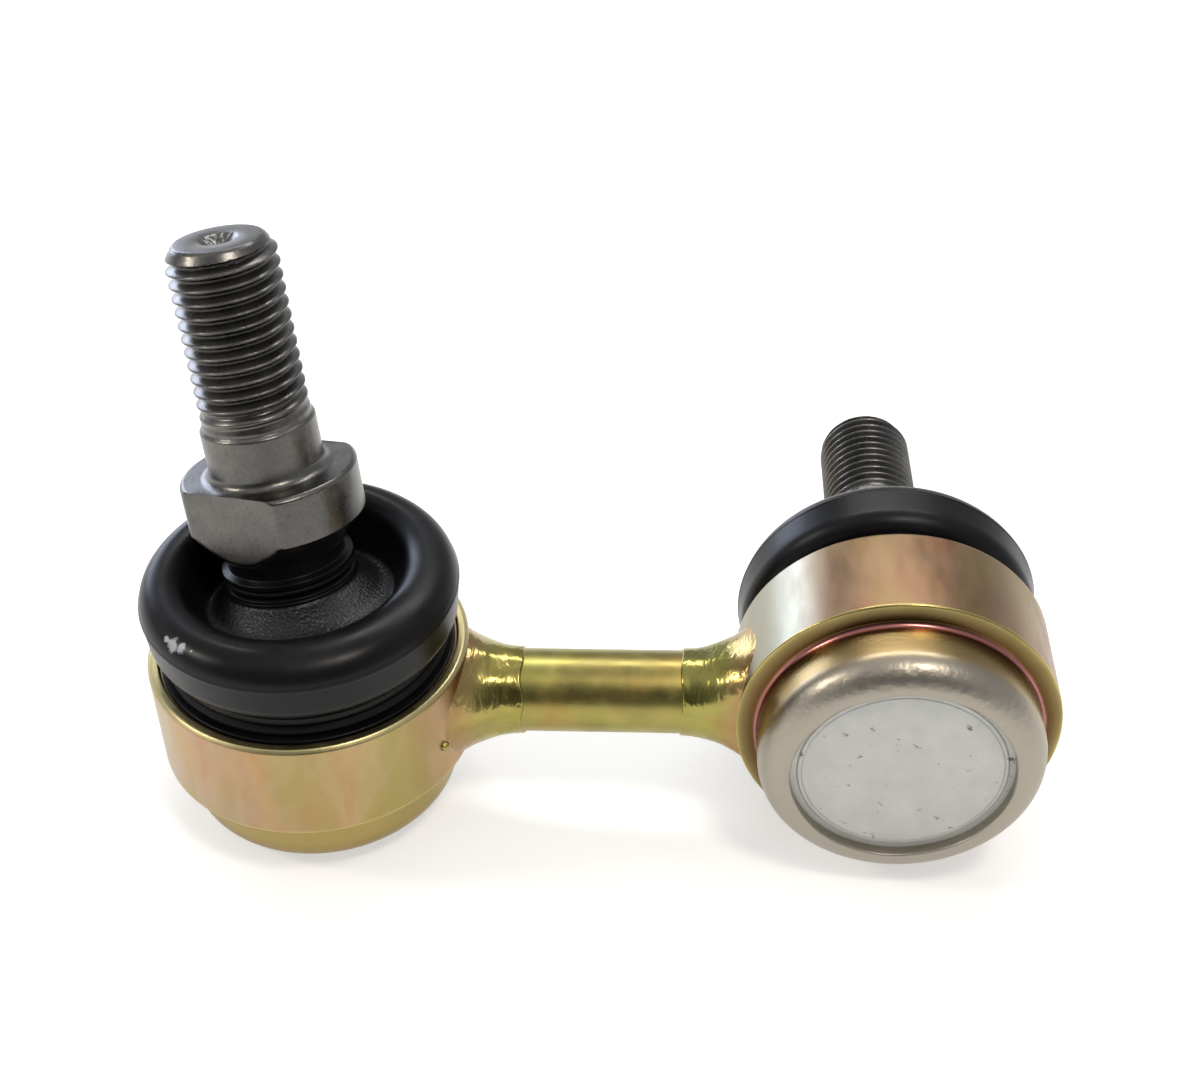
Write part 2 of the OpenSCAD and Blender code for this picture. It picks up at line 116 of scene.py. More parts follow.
def chromate(tree, place, seed, film, blush, stretch=1.0):
    """Colour and roughness of the yellow chromate film at a place on the surface."""
    moved = add(tree, "Mapping", {"Vector": place, "Location": (seed, seed * 0.37, -seed * 0.61),
                                  "Scale": (1.0, 1.0, stretch)}).outputs[0]
    drift = add(tree, "TexNoise", {"Vector": moved, "Scale": per_mm(DRIFT_MM), "Detail": 2.0,
                                   "Roughness": 0.45, "Distortion": 0.4})
    base = add(tree, "ValToRGB", {"Fac": drift.outputs["Fac"]}, stops=film)
    patch = add(tree, "TexNoise", {"Vector": moved, "Scale": per_mm(BLUSH_MM), "Detail": 2.0,
                                   "Distortion": 0.6})
    rose = add(tree, "ValToRGB", {"Fac": patch.outputs["Fac"]}, stops=[
        (0.34, "#e2e8ae"), (0.47, "#ffffff"), (0.55, "#ffffff"), (0.70, "#ffcfc4")])
    tinted = add(tree, "Mix", {0: blush, 6: base.outputs[0], 7: rose.outputs[0]},
                 data_type="RGBA", blend_type="MULTIPLY")
    cloud = add(tree, "TexNoise", {"Vector": moved, "Scale": per_mm(CLOUD_MM), "Detail": 5.0,
                                   "Roughness": 0.65})
    shade = add(tree, "ValToRGB", {"Fac": cloud.outputs["Fac"]}, stops=[(0.3, 0.86), (0.65, 1.0)])
    colour = add(tree, "Mix", {0: 1.0, 6: tinted.outputs[2], 7: shade.outputs[0]},
                 data_type="RGBA", blend_type="MULTIPLY")
    rough = add(tree, "MapRange", {"Value": cloud.outputs["Fac"], "From Min": 0.3, "From Max": 0.7,
                                   "To Min": 0.28, "To Max": 0.42})
    return colour.outputs[2], rough.outputs[0]


def grain(tree, place, size, height):
    """Normal of a fine surface grain, its size and height in millimetres."""
    fine = add(tree, "TexNoise", {"Vector": place, "Scale": per_mm(size), "Detail": 3.0})
    return add(tree, "Bump", {"Height": fine.outputs["Fac"], "Distance": height * MM}).outputs[0]


# On the drawn bar the film shows fine lines along it, drawn coarser than they are so that they show.
zinc_bar, tree, shader, place = new_finish("Yellow zinc chromate on drawn bar", Metallic=1.0)
colour, rough = chromate(tree, place, 0.031, OLIVE_FILM, 0.3)
drawn = add(tree, "Mapping", {"Vector": place, "Scale": (0.1, 1.0, 1.0)}).outputs[0]
tree.links.new(colour, shader.inputs["Base Color"])
tree.links.new(rough, shader.inputs["Roughness"])
tree.links.new(grain(tree, drawn, GRAIN_MM, GRAIN_HEIGHT), shader.inputs["Normal"])


def dress(node, material):
    """Gives a CAD node its finish."""
    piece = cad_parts[node]
    piece.data.materials.clear()
    piece.data.materials.append(material)


dress("link_rod", zinc_bar)

# Weld beads: one run of weld round each end of the bar, laid by hand, so its toe wanders and its
# face ripples. They were plated with the rest, and a drop of spatter stuck to the left cup.
BODY_R = 15.25
BODY_LOW = -4.4
BODY_TOP = 5.75
WELD_TOE_X = 20.25
WELD_TOE_R = 4.22
WELD_FLARE_R = 7.2
WELD_AROUND = 144
WELD_ROWS = 24
TOE_ROWS = 4
WELD_SINK = 0.05
WELD_CORE = 0.3
FOOT_TRIES = 6
WANDER = 0.55
LUMP = 0.16
SINGED_FROM = 15.3
SINGED_TO = 17.4
POOL_MM = 1.5
POOL_HEIGHT = 0.12
RIPPLE_MM = 0.5
RIPPLE_HEIGHT = 0.012
SPATTER_R = 0.48
SPATTER_ANGLE = -28.8
SPATTER_Z = -0.55

weld_sweep = WELD_TOE_X - math.sqrt(BODY_R ** 2 - WELD_FLARE_R ** 2)
weld_rise = WELD_FLARE_R - WELD_TOE_R
weld_hollow = (weld_sweep ** 2 + weld_rise ** 2) / (2 * weld_rise)


def joint_frame(side):
    """Where a joint's ball centre is, with +Z along its cup's axis."""
    quarter = Matrix.Rotation(math.radians(-90), 4, "X") if side == "right" else Matrix.Identity(4)
    centre = Vector((SIDES[side] * LINK_LENGTH / 2 * MM, rod_middle.y, rod_middle.z))
    return Matrix.Translation(centre) @ quarter


def new_piece(name, points, faces, matrix, material, crease=35):
    """A mesh piece from points in millimetres, smooth apart from edges sharper than crease."""
    mesh = bpy.data.meshes.new(name)
    mesh.from_pydata([[c * MM for c in p] for p in points], [], faces)
    mesh.validate()
    mesh.polygons.foreach_set("use_smooth", [True] * len(mesh.polygons))
    mesh.set_sharp_from_angle(angle=math.radians(crease))
    mesh.materials.append(material)
    piece = bpy.data.objects.new(name, mesh)
    bpy.context.scene.collection.objects.link(piece)
    piece.matrix_world = matrix
    return piece


def band(rows, around, ring=True):
    """Quads between rows of points that each run once round; a ring joins the last row to the first."""
    pairs = [(i, (i + 1) % rows) for i in range(rows if ring else rows - 1)]
    return [
        (a * around + j, a * around + (j + 1) % around, b * around + (j + 1) % around, b * around + j)
        for a, b in pairs
        for j in range(around)
    ]


def soft_min(a, b):
    """The lesser of two lengths, blended where they are close."""
    return -math.log(math.exp(-3 * a) + math.exp(-3 * b)) / 3


def flare(back):
    """Radius of the bead's hollow face at a distance back from its toe."""
    return WELD_TOE_R + weld_hollow - math.sqrt(weld_hollow ** 2 - min(back, weld_sweep) ** 2)


# On the weld the film is glossier than on the bar. Frozen pools and ripples sparkle in it, and it is
# singed to a rose brown towards the cup.
zinc_weld, tree, shader, place = new_finish("Yellow zinc chromate on weld", Metallic=1.0, Roughness=0.24)
colour = chromate(tree, place, 0.117, OLIVE_FILM, 0.5)[0]
flat = add(tree, "VectorMath", {0: place, 1: (1.0, 1.0, 0.0)}, operation="MULTIPLY").outputs[0]
reach = add(tree, "VectorMath", {0: flat}, operation="LENGTH").outputs["Value"]
singed = add(tree, "MapRange", {"Value": reach, "From Min": SINGED_FROM * MM, "From Max": SINGED_TO * MM,
                                "To Min": 0.55, "To Max": 0.0})
heated = add(tree, "Mix", {0: singed.outputs[0], 6: colour, 7: linear("#a5765c")}, data_type="RGBA")
wrapped = add(tree, "Mapping", {"Vector": place, "Scale": (1.5, 0.7, 0.7)}).outputs[0]
pool = add(tree, "TexNoise", {"Vector": wrapped, "Scale": per_mm(POOL_MM), "Detail": 2.0, "Distortion": 0.8})
frozen = add(tree, "Bump", {"Height": pool.outputs["Fac"], "Distance": POOL_HEIGHT * MM}).outputs[0]
lines = add(tree, "TexNoise", {"Vector": wrapped, "Scale": per_mm(RIPPLE_MM), "Detail": 1.0})
ripples = add(tree, "Bump", {"Height": lines.outputs["Fac"], "Distance": RIPPLE_HEIGHT * MM,
                             "Normal": frozen}).outputs[0]
tree.links.new(heated.outputs[2], shader.inputs["Base Color"])
tree.links.new(ripples, shader.inputs["Normal"])

for side, sign in SIDES.items():
    points = []
    for i in range(WELD_ROWS + TOE_ROWS + 3):
        for j in range(WELD_AROUND):
            a = 2 * math.pi * j / WELD_AROUND
            u, v = math.cos(a), math.sin(a)
            hand = WANDER * noise.noise(Vector((u * 1.1, v * 1.1, 3.0 * sign)))
            toe = WELD_TOE_X + hand
            foot = BODY_R
            for tries in range(FOOT_TRIES):
                foot = math.sqrt(BODY_R ** 2 - (flare(toe - foot) * u) ** 2)
            if i <= WELD_ROWS:
                t = i / WELD_ROWS
                x = foot - WELD_SINK + (toe - foot + WELD_SINK) * t
                lump = noise.noise(Vector((u * 2.4, v * 2.4, 0.35 * x + 5 * sign)))
                r = flare(toe - x) + LUMP * lump * min(1.0, 4 * t, 4 * (1 - t))
            elif i <= WELD_ROWS + TOE_ROWS:
                turn = math.radians(90 * (i - WELD_ROWS) / TOE_ROWS)
                x = toe + (WELD_TOE_R - ROD_R) * math.sin(turn)
                r = ROD_R - WELD_SINK + (WELD_TOE_R - ROD_R + WELD_SINK) * math.cos(turn)
            else:
                x = toe if i == WELD_ROWS + TOE_ROWS + 1 else foot - WELD_SINK
                r = ROD_R - WELD_CORE
            z = soft_min(r * v, BODY_TOP) if v > 0 else -soft_min(-r * v, -BODY_LOW)
            points.append((-sign * x, r * u, z))
    faces = band(WELD_ROWS + TOE_ROWS + 3, WELD_AROUND)
    if side == "right":
        faces = [face[::-1] for face in faces]
    weld = new_piece(side + "_weld_bead", points, faces, joint_frame(side), zinc_weld, 60)
    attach(weld, "link")
    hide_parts(side + "_weld")


def arc(centre, r, start, end, steps):
    """Points on an arc, its angles in degrees."""
    angles = [math.radians(start + (end - start) * i / steps) for i in range(steps + 1)]
    return [(centre[0] + r * math.cos(a), centre[1] + r * math.sin(a)) for a in angles]


def lathe(outline, around, shape=None, ring=True):
    """Points and faces of an outline turned about Z; shape may move each (r, z, angle)."""
    points = []
    for r, z in outline:
        for j in range(around):
            a = 2 * math.pi * j / around
            rr, zz = shape(r, z, a) if shape else (r, z)
            points.append((rr * math.cos(a), rr * math.sin(a), zz))
    faces = band(len(outline), around, ring)
    if not ring:
        faces.append(tuple(range(around))[::-1])
        faces.append(tuple(range(len(points) - around, len(points))))
    return points, faces


def spatter_drop(r, z, a):
    """A frozen drop is lumpy."""
    return r * (1 + 0.2 * noise.noise(Vector((2 * math.cos(a), 2 * math.sin(a), 4 * z)))), z


points, faces = lathe(arc((0, 0), SPATTER_R, -60, 85, 12), 24, spatter_drop, ring=False)
drop_turn = Matrix.Rotation(math.radians(SPATTER_ANGLE), 4, "Z")
drop_lie = Matrix.Rotation(math.radians(90), 4, "Y")
drop_place = Matrix.Translation(Vector((BODY_R, 0, SPATTER_Z)) * MM) @ drop_lie
drop = new_piece("left_weld_spatter", points, faces, joint_frame("left") @ drop_turn @ drop_place, zinc_bar)
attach(drop, "link")

# Cups: turned steel housings that hold the ball and its seats. The skirt's end is rolled in over
# the end plate, which rubs the yellow film off the lip and leaves it silvery brown.
LIP_LOW = -11.1
LIP_ROUND = 2.8
LIP_EDGE = 0.2
LIP_OPEN_R = 10.3
SKIRT_R = 13.3
SKIRT_TOP = -6.0
STEP_FILLET = 0.6
STEP_Z = -4.75
STEP_EDGE_R = 14.1
RIM_Z = 6.1
RIM_BEVEL = 0.35
RECESS_R = 14.2
RECESS_Z = 5.5
SPIGOT_R = 10.8
SPIGOT_UNDERCUT = 6.5
SPIGOT_EDGE_R = 11.3
SPIGOT_EDGE_Z = 7.0
SPIGOT_TOP = 7.5
MOUTH_TOP_R = 9.4
MOUTH_R = 7.6
SHOULDER_Z = 4.2
CAVITY_R = 11.0
PLATE_R = 11.65
PLATE_SEAT_Z = -8.6
PLATE_FACE_Z = -10.0
CUP_AROUND = 240
CRIMP_Z = -9.3
CRIMP_R = 12.4
CRIMP_FADE = 1.2
CRIMP_WAVE = 0.18
CRIMP_RISE = 0.04
DENT_MM = 0.9
DENT_HEIGHT = 0.08
WAVER_MM = 5.0
WAVER = 0.25
# Heights over which the rim's bevel fades into a pale straw colour, a painted highlight.
RIM_HIGHLIGHT_LOW = 5.7
RIM_HIGHLIGHT_HIGH = 5.9
# The film's colours and the painted light in the step change along the cup's outline, from lip to body:
# height plus this share of the radius.
STEP_LEAN = 0.8
ZONE_LOW = -2.86
ZONE_HIGH = 19.14


def eased(corners, radius, steps=4):
    """A line with its corners rounded, and a point held on each side so that flats shade flat."""
    made = [corners[0]]
    for before, corner, after in zip(corners, corners[1:], corners[2:]):
        p, to_a, to_b = Vector(corner), Vector(before) - Vector(corner), Vector(after) - Vector(corner)
        if to_a.angle(to_b) > math.radians(155):
            made.append(corner)
            continue
        cut = min(radius, to_a.length * 0.3, to_b.length * 0.3)
        a, b = to_a.normalized() * cut, to_b.normalized() * cut
        made.append(tuple(p + a * 1.5))
        for k in range(steps + 1):
            t = k / steps
            made.append(tuple(p + a * (1 - t) ** 2 + b * t ** 2))
        made.append(tuple(p + b * 1.5))
    return made + [corners[-1]]


def rolled_lip(r, z, a):
    """Crimping leaves the lip a little uneven round its opening."""
    share = max(0.0, min(1.0, (CRIMP_Z - z) / CRIMP_FADE)) * max(0.0, min(1.0, (CRIMP_R - r) / CRIMP_FADE))
    wave = noise.noise(Vector((math.cos(a) * 2.2, math.sin(a) * 2.2, 4.0)))
    return r + CRIMP_WAVE * wave * share, z + CRIMP_RISE * wave * share


def cup_finish(name, seed, film, skirt, lip, reflection_side, reflection_share):
    """Chromate with a painted pale reflection on one side; gold, olive and rose in the step with painted
    highlights, painted shade and a dark painted reflection; a painted highlight on the rim; worn on the lip.
    """
    material, tree, shader, place = new_finish(name, Metallic=1.0)
    colour, rough = chromate(tree, place, seed, film, 0.45, 0.4)
    flat = add(tree, "VectorMath", {0: place, 1: (1.0, 1.0, 0.0)}, operation="MULTIPLY").outputs[0]
    outward = add(tree, "VectorMath", {0: flat}, operation="NORMALIZE").outputs[0]
    facing = add(tree, "VectorMath", {0: outward, 1: reflection_side}, operation="DOT_PRODUCT").outputs["Value"]
    # Painted reflection: a pale silvery colour on the side that faces the given direction, where the cup
    # mirrors its bright surroundings.
    painted_reflection = add(tree, "MapRange", {"Value": facing, "From Min": 0.84, "From Max": 0.98, "To Max": reflection_share},
               interpolation_type="SMOOTHSTEP")
    pale = add(tree, "Mix", {0: painted_reflection.outputs[0], 6: colour, 7: linear("#949a8b")}, data_type="RGBA")
    radius = add(tree, "VectorMath", {0: flat}, operation="LENGTH").outputs["Value"]
    along = add(tree, "SeparateXYZ", {0: place}).outputs["Z"]
    climb = add(tree, "Math", {0: radius, 1: STEP_LEAN, 2: along}, operation="MULTIPLY_ADD")
    waver = add(tree, "TexNoise", {"Vector": place, "Scale": per_mm(WAVER_MM), "Detail": 3.0})
    drift = add(tree, "MapRange", {"Value": waver.outputs["Fac"],
                                   "To Min": -WAVER * MM, "To Max": WAVER * MM})
    height = add(tree, "Math", {0: climb.outputs[0], 1: drift.outputs[0]}, operation="ADD")
    zone = add(tree, "MapRange", {"Value": height.outputs[0],
                                  "From Min": ZONE_LOW * MM, "From Max": ZONE_HIGH * MM})
    # Painted light in the step: the rose line on the fillet is film colour with a painted highlight, the dark
    # brown at the step's inner corner is painted shade, the dark olive-brown across the step stands in for a
    # dark reflection, and the bright gold at the body's lower edge is a painted highlight.
    step_film_and_painted_light = add(tree, "ValToRGB", {"Fac": zone.outputs[0]}, stops=[
        (0.0, lip), (0.18, lip), (0.25, skirt), (0.345, skirt), (0.372, "#84543a"), (0.393, "#b47674"),
        (0.412, "#57401f"), (0.435, "#665233"), (0.463, "#7d6d47"), (0.476, "#938453"), (0.485, "#bcac6c")])
    own = add(tree, "ValToRGB", {"Fac": zone.outputs[0]}, stops=[(0.486, 0.0), (0.498, 1.0)])
    tint = add(tree, "Mix", {0: own.outputs[0], 6: step_film_and_painted_light.outputs[0], 7: pale.outputs[2]}, data_type="RGBA")
    # Painted highlight: everything above the rim's bevel takes a pale straw colour.
    rim_highlight_share = add(tree, "MapRange", {"Value": along, "From Min": RIM_HIGHLIGHT_LOW * MM,
                                    "From Max": RIM_HIGHLIGHT_HIGH * MM, "To Max": 0.8})
    rim_highlighted = add(tree, "Mix", {0: rim_highlight_share.outputs[0], 6: tint.outputs[2], 7: linear("#c2b888")},
                data_type="RGBA")
    satin = add(tree, "ValToRGB", {"Fac": zone.outputs[0]}, stops=[(0.1, 0.4), (0.25, 0.3), (0.36, 0.24)])
    rubbed = add(tree, "Mix", {0: own.outputs[0], 2: satin.outputs[0], 3: rough}, data_type="FLOAT")
    hammered = add(tree, "ValToRGB", {"Fac": zone.outputs[0]}, stops=[(0.12, 1.0), (0.24, 0.0)])
    dents = add(tree, "TexNoise", {"Vector": place, "Scale": per_mm(DENT_MM), "Detail": 3.0})
    rolled = add(tree, "Bump", {"Height": dents.outputs["Fac"], "Distance": DENT_HEIGHT * MM,
                                "Strength": hammered.outputs[0],
                                "Normal": grain(tree, place, GRAIN_MM, GRAIN_HEIGHT)})
    tree.links.new(rim_highlighted.outputs[2], shader.inputs["Base Color"])
    tree.links.new(rubbed.outputs[0], shader.inputs["Roughness"])
    tree.links.new(rolled.outputs[0], shader.inputs["Normal"])
    return material


cup_line = (
    [(LIP_OPEN_R, -10.5)]
    + arc((LIP_OPEN_R + LIP_EDGE, LIP_LOW + LIP_EDGE), LIP_EDGE, 180, 262, 5)
    + arc((SKIRT_R - LIP_ROUND, LIP_LOW + LIP_ROUND), LIP_ROUND, -88, 0, 18)
    + [(SKIRT_R, -7.6), (SKIRT_R, SKIRT_TOP)]
    + arc((SKIRT_R + STEP_FILLET, STEP_Z - STEP_FILLET), STEP_FILLET, 180, 97, 8)
    + eased([
        (STEP_EDGE_R, STEP_Z + 0.05),
        (BODY_R, BODY_LOW),
        (BODY_R, RIM_Z - RIM_BEVEL),
        (BODY_R - RIM_BEVEL, RIM_Z),
        (RECESS_R, RIM_Z),
        (RECESS_R, RECESS_Z),
        (SPIGOT_R, RECESS_Z),
        (SPIGOT_R, SPIGOT_UNDERCUT),
        (SPIGOT_EDGE_R, SPIGOT_EDGE_Z),
        (SPIGOT_EDGE_R, SPIGOT_TOP),
        (MOUTH_TOP_R, SPIGOT_TOP),
        (MOUTH_R, SHOULDER_Z),
        (CAVITY_R, SHOULDER_Z),
        (CAVITY_R, PLATE_SEAT_Z),
        (PLATE_R, PLATE_SEAT_Z),
        (PLATE_R, PLATE_FACE_Z),
        (LIP_OPEN_R, PLATE_FACE_Z),
        (LIP_OPEN_R, -10.45),
    ], 0.14)
)
# For each cup: where its film pattern starts, the film, the skirt's and the lip's colours, the side that gets
# a painted pale reflection and how strong it is there.
cup_looks = {
    "left": (0.052, TAN_FILM, "#a2905a", "#96804e", (-0.97, -0.25, 0.0), 0.3),
    "right": (0.21, BROWN_FILM, "#9a8358", "#a39c8f", (-0.85, -0.53, 0.0), 0.7),
}
for side in SIDES:
    points, faces = lathe(cup_line, CUP_AROUND, rolled_lip)
    finish = cup_finish("Yellow zinc chromate on " + side + " cup", *cup_looks[side])
    cup = new_piece(side + "_cup", points, faces, joint_frame(side), finish)
    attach(cup, "link")
    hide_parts(side + "_housing")

# End plates: pressed steel discs, dull zinc grey, that close the cups under the rolled lips.
# Their faces carry a pressed ring near the edge, shallow dents and dark specks.
PLATE_RAISED_R = 9.6
PLATE_RAISED_Z = -10.2
PLATE_FACE_STEP = 0.4
PLATE_FLAT_R = 8.6
PLATE_RING_R = 9.2
PLATE_RING_DEPTH = 0.07
PLATE_DENT = 0.04
PLATE_EDGE_GAP = 0.05
PLATE_SEAT_GAP = 0.02
MOTTLE_MM = 3.5
SPECK_MM = 1.3
PRESSED_MM = 1.6
PRESSED_HEIGHT = 0.02

# Dull zinc: a pale matt grey, faintly mottled, with dark specks of dirt.
plate_zinc, tree, shader, place = new_finish("Dull zinc on pressed plate", Metallic=0.35, Roughness=0.55)
mottle = add(tree, "TexNoise", {"Vector": place, "Scale": per_mm(MOTTLE_MM), "Detail": 6.0,
                                "Roughness": 0.65})
grey = add(tree, "ValToRGB", {"Fac": mottle.outputs["Fac"]}, stops=[(0.3, "#cdcecb"), (0.7, "#dcdcd9")])
speck = add(tree, "TexNoise", {"Vector": place, "Scale": per_mm(SPECK_MM), "Detail": 4.0, "Roughness": 0.6})
darkening = add(tree, "ValToRGB", {"Fac": speck.outputs["Fac"]}, stops=[(0.27, "#8d8a86"), (0.35, "#ffffff")])
marked = add(tree, "Mix", {0: 1.0, 6: grey.outputs[0], 7: darkening.outputs[0]},
             data_type="RGBA", blend_type="MULTIPLY")
tree.links.new(marked.outputs[2], shader.inputs["Base Color"])
tree.links.new(grain(tree, place, PRESSED_MM, PRESSED_HEIGHT), shader.inputs["Normal"])


def dented(r, z, a):
    """A pressed face is never quite flat: shallow dents over its middle."""
    if z > PLATE_FACE_Z - PLATE_EDGE_GAP:
        return r, z
    return r, z + PLATE_DENT * noise.noise(Vector((r * math.cos(a) * 0.25, r * math.sin(a) * 0.25, 1.3)))


plate_line = [(PLATE_FACE_STEP * i, PLATE_RAISED_Z) for i in range(1, 22)] + eased([
    (PLATE_FLAT_R, PLATE_RAISED_Z),
    (PLATE_RING_R, PLATE_RAISED_Z),
    (PLATE_RING_R + 0.1, PLATE_RAISED_Z + PLATE_RING_DEPTH),
    (PLATE_RAISED_R, PLATE_RAISED_Z + PLATE_RING_DEPTH),
    (PLATE_RAISED_R + 0.13, PLATE_FACE_Z),
    (PLATE_R - PLATE_EDGE_GAP, PLATE_FACE_Z),
    (PLATE_R - PLATE_EDGE_GAP, PLATE_SEAT_Z - PLATE_SEAT_GAP),
    (1.0, PLATE_SEAT_Z - PLATE_SEAT_GAP),
], 0.1)
for side in SIDES:
    points, faces = lathe(plate_line, CUP_AROUND // 2, dented, ring=False)
    plate = new_piece(side + "_closing_plate", points, faces, joint_frame(side), plate_zinc)
    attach(plate, "link")
    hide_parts(side + "_end_plate")

# Seats: two moulded acetal shells round each ball, unseen inside the cup. The disc spring under
# them, of phosphated spring steel, keeps them tight on the ball.
# Acetal: an ivory plastic with a waxy sheen.
acetal, tree, shader, place = new_finish("Moulded acetal", Roughness=0.4)
tone = add(tree, "TexNoise", {"Vector": place, "Scale": per_mm(5.0), "Detail": 3.0})
ivory = add(tree, "ValToRGB", {"Fac": tone.outputs["Fac"]}, stops=[(0.3, "#dedbd0"), (0.7, "#e8e6dd")])
tree.links.new(ivory.outputs[0], shader.inputs["Base Color"])

# Phosphate turns the spring steel a dull, mottled dark grey.
spring_steel, tree, shader, place = new_finish("Phosphated spring steel", Metallic=0.8, Roughness=0.5)
tone = add(tree, "TexNoise", {"Vector": place, "Scale": per_mm(0.8), "Detail": 5.0})
dark = add(tree, "ValToRGB", {"Fac": tone.outputs["Fac"]}, stops=[(0.3, "#2f3133"), (0.7, "#4c4f52")])
tree.links.new(dark.outputs[0], shader.inputs["Base Color"])

for side in SIDES:
    dress(side + "_upper_seat", acetal)
    dress(side + "_lower_seat", acetal)
    dress(side + "_preload_washer", spring_steel)

# Ball studs: forged and turned steel, left bare. A ball, a waisted neck, a collar with two wrench
# flats, a plain shank and a rolled metric thread of 10 mm by 1.25 mm with a centre mark in its end.
BALL_R = 7.5
POLE_R = 2.3
WAIST_R = 4.1
NECK_R = 4.9
NECK_LOW = 11.4
COLLAR_BASE = 16.0
COLLAR_BASE_R = 6.0
COLLAR_LOW = 18.8
COLLAR_TOP = 23.5
COLLAR_R = 8.2
COLLAR_BEVEL = 0.3
COLLAR_FILLET = 0.9
COLLAR_FLATS = 13.0
SHANK_R = 5.3
SHANK_TOP = 28.5
THREAD_R = 5.0
THREAD_PITCH = 1.25
THREAD_DEPTH = 0.61 * THREAD_PITCH
THREAD_LOW = 28.8
THREAD_RUNOUT = 2.4
THREAD_ROWS = 26
STUD_TIP = 45.4
TIP_FACE_R = 4.1
TIP_CHAMFER = 1.4
TIP_MARK_R = 1.7
TIP_MARK_DEPTH = 0.8
TIP_MARK_EDGE = 0.06
TIP_MARK_ROUGH = 0.16
STUD_AROUND = 160
CONE_STEPS = 18
CHAMFER_STEPS = 20
MARK_STEPS = 8
STEEL_TONE_MM = 3.0
PIT_MM = 0.3
TURNING_MM = 0.35
TURNING_HEIGHT = 0.012
LEAN = {"left": (-12.0, -6.5), "right": (-4.3, 0.0)}
STUD_TURN = {"left": -22.5, "right": 15.0}


def leaned(side, share=1.0):
    """Turn by a share of the stud's lean from its cup's axis."""
    back, along = [math.radians(share * angle) for angle in LEAN[side]]
    return Matrix.Rotation(along, 3, "Y") @ Matrix.Rotation(back, 3, "X")


def thread_depth(s, a):
    """How far the rolled thread lies under its crests, rounded over crest and root."""
    phase = (s / THREAD_PITCH - a / (2 * math.pi)) % 1.0
    away = max(0.0, min(1.0, (min(phase, 1 - phase) - 0.04) / 0.38))
    runout = max(0.0, min(1.0, (s - THREAD_LOW) / THREAD_RUNOUT))
    return THREAD_DEPTH * runout * (0.5 * away + 0.5 * away * away * (3 - 2 * away))


def stud_shape(r, s, a):
    """Cuts the wrench flats, rolls the thread and roughens the centre mark."""
    if COLLAR_BASE - 0.6 < s < COLLAR_TOP + COLLAR_FILLET:
        r = min(r, COLLAR_FLATS / 2 / max(abs(math.sin(a)), 0.01))
    if s > THREAD_LOW and r > TIP_FACE_R:
        r = min(r, THREAD_R - thread_depth(s, a))
    if s > STUD_TIP - TIP_MARK_DEPTH - 0.1 and r < TIP_MARK_R:
        s += TIP_MARK_ROUGH * noise.noise(Vector((r * math.cos(a) * 2.5, r * math.sin(a) * 2.5, 9.0)))
    return r, s


# Bare oiled steel: neutral grey with a satin gloss and dark pits; the thread's roots are darkened as painted
# shade.
# The pits and turning marks are finer on the part, and are drawn as coarse as they need to show.
turned_steel, tree, shader, place = new_finish("Bare turned steel, oiled", Metallic=1.0)
tone = add(tree, "TexNoise", {"Vector": place, "Scale": per_mm(STEEL_TONE_MM), "Detail": 6.0,
                              "Roughness": 0.7})
steel_tone = add(tree, "ValToRGB", {"Fac": tone.outputs["Fac"]}, stops=[
    (0.3, "#5a5957"), (0.5, "#686663"), (0.7, "#74726e")])
pits = add(tree, "TexNoise", {"Vector": place, "Scale": per_mm(PIT_MM), "Detail": 3.0, "Roughness": 0.6})
pitted = add(tree, "ValToRGB", {"Fac": pits.outputs["Fac"]}, stops=[(0.3, 0.78), (0.45, 0.95), (0.6, 1.0)])
thread_height = add(tree, "Attribute", attribute_name="thread_height").outputs["Fac"]
# Painted shade: the thread's roots are darkened, down to 0.45, towards the bottom of the thread; the crests
# keep the steel's tone.
painted_root_shade = add(tree, "ValToRGB", {"Fac": thread_height}, stops=[(0.0, 0.45), (0.4, 1.0), (1.0, 1.0)])
darkening = add(tree, "Mix", {0: 1.0, 6: pitted.outputs[0], 7: painted_root_shade.outputs[0]},
           data_type="RGBA", blend_type="MULTIPLY")
steel_colour = add(tree, "Mix", {0: 1.0, 6: steel_tone.outputs[0], 7: darkening.outputs[2]},
                   data_type="RGBA", blend_type="MULTIPLY")
polish = add(tree, "MapRange", {"Value": tone.outputs["Fac"], "From Min": 0.3, "From Max": 0.7,
                                "To Min": 0.24, "To Max": 0.37})
tree.links.new(steel_colour.outputs[2], shader.inputs["Base Color"])
tree.links.new(polish.outputs[0], shader.inputs["Roughness"])
tree.links.new(grain(tree, place, TURNING_MM, TURNING_HEIGHT), shader.inputs["Normal"])

